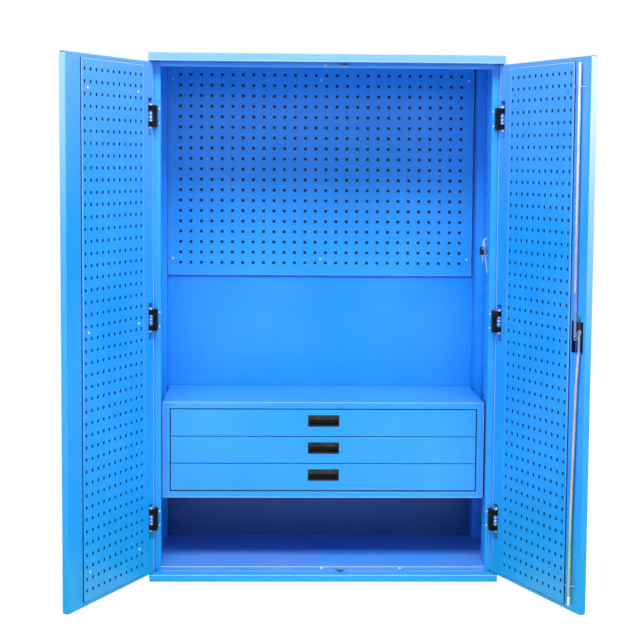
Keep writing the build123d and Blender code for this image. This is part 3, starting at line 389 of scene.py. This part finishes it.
def back_wall_shade(g):
    """Dark behind the back sheet and half dark low down, behind the drawer case, on the inner face only."""
    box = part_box("back_sheet")
    sheet_back = box[1][1]
    wall_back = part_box("back_panel")[1][1]
    axes = g.axes()
    near = g.behind(axes, sheet_back, BACK_WALL_NEAR_Y, 1.0, 0.0)
    behind_sheet = g.product(g.within(axes, box, BACK_SHEET_INSET), near)
    inside = g.behind(axes, wall_back, BACK_WALL_SHADE_Y, BACK_WALL_SHADE, 0.0)
    return g.math("MAXIMUM", behind_sheet, g.product(inside, g.ramp(axes["Z"], *BACK_WALL_SHADE_Z)))


def front_rim(g, name):
    """1 in a narrow band along the outline of a piece's front face, where the paint catches the light."""
    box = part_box(name)
    axes = g.axes()
    front = g.behind(axes, box[0][1], RIM_Y, 1.0, 0.0)
    return g.product(g.math("SUBTRACT", 1.0, g.within(axes, box, RIM_WIDTH, RIM_SOFT)), front)


def frame_shade(g):
    """1 on the folds of the drawer case's frame and in a dark line round the drawer fronts."""
    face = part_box("unit_front_frame")[0][1]
    fronts = (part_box("drawer_3_front")[0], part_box("drawer_1_front")[1])
    axes = g.axes()
    return g.math("MAXIMUM", g.behind(axes, face, FRAME_FOLD_Y), g.within(axes, fronts, -FRAME_LINE))


# Materials
def powder_coat(name, colour=AZURE, haze=0.0, pale=0.0, low=0.0, low_gloss=GLOSS, chips=0.0,
                rough=COAT_ROUGH, rim=None, rim_share=0.5, shaded=None, shade=SHADE, painted_highlight=None):
    """Baked powder paint: fine orange peel, faint mottling, dust and chips, with painted shade where it is
    closed in.

    haze, pale, low and chips are shares of dust, of painted light high up, of painted reflected light low
    down and of chips, and low_gloss is the gloss low down. rim names the piece whose outline gets a painted
    highlight.
    shaded returns the mask for painted shade in the colour shade, and the last argument the mask for painted
    highlights.
    """
    g = Graph(name)
    deep = scaled(colour, COAT_DARKER)
    light = tuple(c + (1.0 - c) * COAT_LIGHTER for c in colour)
    mottling = g.ramp(g.noise(2.2, detail=4.0), 0.35, 0.68)
    tone = g.mix(mottling, deep, light)
    if haze:
        smears = g.noise(4.0, detail=6.0, vector=g.stretched((1.0, 3.5, 1.0)), roughness=0.62)
        tone = g.mix(g.ramp(smears, 0.36, 0.60, haze, haze * HAZE_BETWEEN), tone, DUST)
    up = g.axes()["Z"]
    # painted light from above, and painted reflected light low down
    if pale:
        tone = g.mix(g.ramp(up, *PAINTED_LIGHT_Z, 0.0, pale), tone, PAINTED_LIGHT_LAVENDER)
    if low:
        tone = g.mix(g.ramp(up, *REFLECTED_LIGHT_Z, 0.0, low), tone, REFLECTED_TEAL)
        g.gloss(g.ramp(up, *GLOSS_Z, GLOSS, low_gloss))
    if chips:
        worn = g.noise(38.0, detail=5.0, vector=g.stretched((1.0, 1.0, 2.5)), roughness=0.7)
        tone = g.mix(g.ramp(worn, 0.735, 0.750, 0.0, chips), tone, SHADE)
    # painted highlights where the last mask is 1
    if painted_highlight:
        tone = g.mix(painted_highlight(g), tone, PAINTED_HIGHLIGHT_COLOUR)
    # painted shade in gaps, holes and tight corners
    tone = g.mix(g.product(g.closed_in(), GAP_SHARE), tone, GAP_SHADE)
    if rim:
        tone = g.mix(g.product(front_rim(g, rim), rim_share), tone, PAINTED_LIGHT_LAVENDER)
    # painted shade where the shaded mask is 1
    if shaded:
        tone = g.mix(shaded(g), tone, shade)
    g.colour(tone)
    g.roughness(g.ramp(g.noise(12.0, detail=1.0), 0.2, 0.8, *rough))
    orange_peel = g.noise(520.0, detail=1.0)
    g.bump(orange_peel, strength=0.08, distance=0.0006)
    return g.material


def moulded_plastic(name, colour, grain=1500.0, rough=(0.42, 0.58)):
    """Injection-moulded plastic with a fine eroded grain."""
    g = Graph(name)
    g.colour(g.mix(g.noise(40.0, detail=2.0), scaled(colour, 0.8), scaled(colour, 1.15)))
    g.roughness(g.uneven(g.noise(90.0, detail=2.0), *rough))
    g.bump(g.noise(grain, detail=2.0), strength=0.25, distance=0.0003)
    g.gloss(0.3)
    return g.material


def grip_plastic(name, front):
    """Black moulded plastic, greyer on the frame and the hood, with painted shade deep in the cup."""
    g = Graph(name)
    deep = g.behind(g.axes(), front, GRIP_CUP_Y)
    worn = g.ramp(g.noise(45.0, detail=4.0), 0.40, 0.66)
    g.colour(g.mix(deep, g.mix(worn, GRIP_DARK, GRIP_RUBBED), GRIP_CUP_SHADE))
    g.gloss(0.22)
    g.roughness(g.uneven(g.noise(90.0, detail=2.0), 0.42, 0.60))
    g.bump(g.noise(1300.0, detail=2.0), strength=0.25, distance=0.0003)
    return g.material


def black_paint(name):
    """Thin black paint on metal, worn brownish in places."""
    g = Graph(name)
    worn = g.ramp(g.noise(55.0, detail=4.0), 0.52, 0.72)
    g.colour(g.mix(worn, BLACK_PAINT, BLACK_PAINT_WORN))
    g.roughness(g.uneven(g.noise(160.0, detail=2.0), 0.45, 0.65))
    g.gloss(0.12)
    g.bump(g.noise(700.0, detail=2.0), strength=0.2, distance=0.0004)
    return g.material


def plated_steel(name, colour=ZINC, rough=0.26, metallic=1.0):
    """Zinc-plated steel with a cloudy tone and a fine grain."""
    g = Graph(name)
    g.colour(g.mix(g.noise(70.0, detail=3.0), scaled(colour, 0.78), scaled(colour, 1.12)))
    grain = g.noise(240.0, detail=3.0)
    g.roughness(g.uneven(grain, rough * 0.8, rough * 1.35))
    g.bump(grain, strength=0.10, distance=0.0003)
    g.metallic(metallic)
    return g.material


def rod_steel(name):
    """Drawn steel with lines along the rod, pinkish, with a painted highlight at the top and a painted
    yellow-green reflection at the foot.
    """
    g = Graph(name)
    up = g.axes()["Z"]
    cloud = g.mix(g.noise(30.0, detail=3.0), ROD_DARK, ROD_LIGHT)
    tone = g.mix(g.ramp(up, *ROD_TOP_Z), cloud, ROD_TOP_HIGHLIGHT)
    g.colour(g.mix(g.ramp(up, *ROD_FOOT_Z, 0.0, ROD_FOOT_REFLECTION_SHARE), tone, ROD_FOOT_REFLECTION))
    lines = g.noise(240.0, detail=3.0, vector=g.stretched((1.0, 1.0, 0.05)))
    g.roughness(g.uneven(lines, 0.20, 0.34))
    g.bump(lines, strength=0.10, distance=0.0003)
    g.metallic(0.6)
    return g.material


def key_metal_and_head(name):
    """Nickel blades under black plastic heads, split at the neck."""
    g = Graph(name)
    head = g.ramp(g.axes()["Z"], KEY_NECK_Z - EDGE_SOFT, KEY_NECK_Z + EDGE_SOFT)
    cloud = g.mix(g.noise(90.0, detail=2.0), NICKEL_DARK, NICKEL_LIGHT)
    g.colour(g.mix(head, cloud, KEY_HEAD))
    g.metallic(g.ramp(head, 0.0, 1.0, 1.0, 0.0))
    g.roughness(g.uneven(g.noise(300.0, detail=2.0), 0.28, 0.42))
    g.bump(g.noise(900.0, detail=1.0), strength=0.15, distance=0.0002)
    return g.material


def thread(name):
    """White twisted thread."""
    g = Graph(name)
    wave = g.nodes.new("ShaderNodeTexWave")
    wave.inputs["Scale"].default_value = 420.0
    wave.inputs["Distortion"].default_value = 1.5
    g.link(g.place(), wave.inputs["Vector"])
    g.colour(g.mix(wave.outputs["Fac"], THREAD_DARK, THREAD_LIGHT))
    g.roughness(0.85)
    g.bump(wave.outputs["Fac"], strength=0.5, distance=0.0003)
    return g.material


def floor_white(name):
    """Pale floor that reads as white to the camera and keeps a soft shadow."""
    g = Graph(name)
    g.colour(g.mix(g.noise(30.0, detail=3.0), FLOOR_DARK, FLOOR_LIGHT))
    g.roughness(0.9)
    glow = g.nodes.new("ShaderNodeEmission")
    glow.inputs["Strength"].default_value = FLOOR_GLOW
    path = g.nodes.new("ShaderNodeLightPath")
    blend = g.nodes.new("ShaderNodeMixShader")
    g.link(g.product(path.outputs["Is Camera Ray"], FLOOR_GLOW_SHARE), blend.inputs["Fac"])
    g.link(g.shader.outputs["BSDF"], blend.inputs[1])
    g.link(glow.outputs["Emission"], blend.inputs[2])
    g.link(blend.outputs["Shader"], g.output.inputs["Surface"])
    return g.material


# Materials on the pieces
def give(material, *names):
    """One material on whole CAD nodes."""
    for name in names:
        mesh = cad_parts[name].data
        mesh.materials.clear()
        mesh.materials.append(material)


def paint_door(side):
    # painted light, reflected light, hollow and hole shade, free-edge and rim highlights and barrel glints
    shell = powder_coat(f"azure powder coat, {side} door", pale=0.20, low=0.85, low_gloss=0.2, shade=GAP_SHADE,
                        shaded=lambda g: door_hollow_shade(g, side), painted_highlight=lambda g: free_edge_highlight(g, side))
    sheet = powder_coat(f"azure powder coat, {side} sheet", pale=0.16, low=0.85, low_gloss=0.3, shade=GAP_SHADE,
                        shaded=lambda g: door_sheet_hole_shade(g, side), painted_highlight=lambda g: door_sheet_rim_highlight(g, side))
    hinges = powder_coat(f"azure enamel, {side} hinges", rough=(0.10, 0.18),
                         painted_highlight=lambda g: barrel_glint_bands(g, side))
    give(shell, f"{side}_door_shell")
    give(sheet, f"{side}_door_sheet")
    give(hinges, f"{side}_hinge_leaves")


def paint_carcass():
    outside = powder_coat("azure powder coat, outside", pale=0.20, low=0.85)
    give(outside, "left_side_panel", "right_side_panel")
    give(powder_coat("azure powder coat, back wall", shaded=back_wall_shade), "back_panel")
    stile = {"low": 0.5, "low_gloss": 0.2, "rim_share": 1.0}
    # pale and low are shares of painted light and painted reflected light, shaded masks give painted shade
    looks = {
        "top_cap": {"pale": 0.30, "colour": AZURE_CAP},
        # painted light: a lighter blue on the header
        "header": {"colour": AZURE_PAINTED_LIT},
        "left_stile": stile,
        "right_stile": stile,
        "base_plinth": {"chips": 0.8, "low": 0.8},
        "floor_panel": {"haze": 0.75, "chips": 0.7},
        "back_sheet": {"colour": AZURE_BACK, "shaded": back_sheet_hole_shade},
        "unit_shell": {"haze": 0.30},
        "unit_front_frame": {"shaded": frame_shade},
    }
    for name, look in looks.items():
        give(powder_coat(f"azure powder coat, {name.replace('_', ' ')}", rim=name, **look), name)


def paint_fittings():
    zinc = plated_steel("bright zinc")
    give(zinc, "hinge_backing_plates", "rod_keepers", "key_cylinder", "slide_outer_members")
    for n in (1, 2, 3):
        give(zinc, f"drawer_{n}_slide_middle", f"drawer_{n}_slide_inner")
        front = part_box(f"drawer_{n}_front")[0][1]
        give(grip_plastic(f"black grip plastic {n}", front), f"drawer_{n}_grip")
    # screws and pins near white with little metal, as painted glints
    screws = plated_steel("bright screw zinc", SCREW_GLINT_WHITE, metallic=0.4)
    give(screws, "panel_screws", "hinge_screws", "hinge_pins", "left_door_screws")
    give(black_paint("black hinge paint"), "hinge_blocks")
    give(plated_steel("yellow-plated steel", CHROMATE, rough=0.28), "lock_cam")
    give(plated_steel("olive-plated steel", OLIVE, rough=0.30), "lock_clamp")
    give(rod_steel("drawn rod steel"), "upper_lock_rod", "lower_lock_rod")
    give(powder_coat("pale blue enamel", colour=PALE_BLUE, rough=(0.18, 0.26)), "rod_guides")
    give(black_paint("black handle paint"), "door_handle")
    give(moulded_plastic("black moulded plastic", BLACK_PLASTIC), "lock_body", "handle_plate")
    give(moulded_plastic("white plastic", WHITE_PLASTIC, grain=900.0, rough=(0.35, 0.5)), "lower_rod_tip")
    give(key_metal_and_head("key metal and head"), "spare_keys")


def paint_cad_nodes():
    give(powder_coat("azure powder coat"), *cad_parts)
    for side in ("left", "right"):
        paint_door(side)
    paint_carcass()
    paint_fittings()


# Key string
def key_string():
    curve = bpy.data.curves.new("key_cord", "CURVE")
    curve.dimensions = "3D"
    spline = curve.splines.new("NURBS")
    spline.points.add(len(STRING_POINTS) - 1)
    for point, place in zip(spline.points, STRING_POINTS):
        point.co = (*place, 1.0)
    spline.order_u = 3
    spline.use_endpoint_u = True
    spline.resolution_u = 8
    curve.bevel_depth = STRING_DIAMETER / 2
    curve.bevel_resolution = 3
    curve.use_fill_caps = True
    piece = bpy.data.objects.new("key_cord", curve)
    bpy.context.scene.collection.objects.link(piece)
    curve.materials.append(thread("white thread"))
    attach(piece, "carcass")
    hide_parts("key_string")


# Stage
def camera():
    """The solved camera. It looks along its own -Z, so its Y and Z are the turned Z and -Y."""
    data = bpy.data.cameras.new("camera")
    data.sensor_width = CAMERA_SENSOR
    data.lens = CAMERA_LENS
    data.clip_end = CAMERA_REACH
    eye = bpy.data.objects.new("camera", data)
    bpy.context.scene.collection.objects.link(eye)
    turn = Euler([math.radians(a) for a in CAMERA_TURN], "XYZ").to_matrix()
    matrix = turn.to_4x4()
    matrix.col[0].xyz = turn.col[0]
    matrix.col[1].xyz = turn.col[2]
    matrix.col[2].xyz = -turn.col[1]
    matrix.translation = Vector(CAMERA_PLACE)
    eye.matrix_world = matrix
    bpy.context.scene.camera = eye


def floor():
    mesh = bpy.data.meshes.new("floor")
    bm = bmesh.new()
    bmesh.ops.create_grid(bm, x_segments=1, y_segments=1, size=FLOOR_REACH)
    bm.to_mesh(mesh)
    bm.free()
    mesh.materials.append(floor_white("pale floor"))
    ground = bpy.data.objects.new("floor", mesh)
    bpy.context.scene.collection.objects.link(ground)


def white_world():
    """White to the camera, bright in reflections and faint as light."""
    world = bpy.data.worlds.new("studio")
    bpy.context.scene.world = world
    world.use_nodes = True
    tree = world.node_tree
    back = tree.nodes["Background"]
    back.inputs["Color"].default_value = (1.0, 1.0, 1.0, 1.0)
    path = tree.nodes.new("ShaderNodeLightPath")
    glossy = tree.nodes.new("ShaderNodeMapRange")
    glossy.inputs["To Min"].default_value = WORLD_LIGHT
    glossy.inputs["To Max"].default_value = WORLD_IN_GLOSS
    tree.links.new(path.outputs["Is Glossy Ray"], glossy.inputs["Value"])
    level = tree.nodes.new("ShaderNodeMath")
    level.operation = "MAXIMUM"
    tree.links.new(path.outputs["Is Camera Ray"], level.inputs[0])
    tree.links.new(glossy.outputs["Result"], level.inputs[1])
    tree.links.new(level.outputs[0], back.inputs["Strength"])


def softbox(name, place, target, size, watts, diffuse, glint):
    data = bpy.data.lights.new(name, "AREA")
    data.shape = "RECTANGLE"
    data.size, data.size_y = size
    data.energy = watts
    data.diffuse_factor = diffuse
    data.specular_factor = glint
    lamp = bpy.data.objects.new(name, data)
    bpy.context.scene.collection.objects.link(lamp)
    lamp.location = place
    lamp.rotation_euler = (Vector(target) - Vector(place)).to_track_quat("-Z", "Y").to_euler()


bpy.context.scene.view_settings.view_transform = "Standard"
camera()
key_string()
paint_cad_nodes()
floor()
white_world()
for lamp in LAMPS:
    softbox(*lamp)
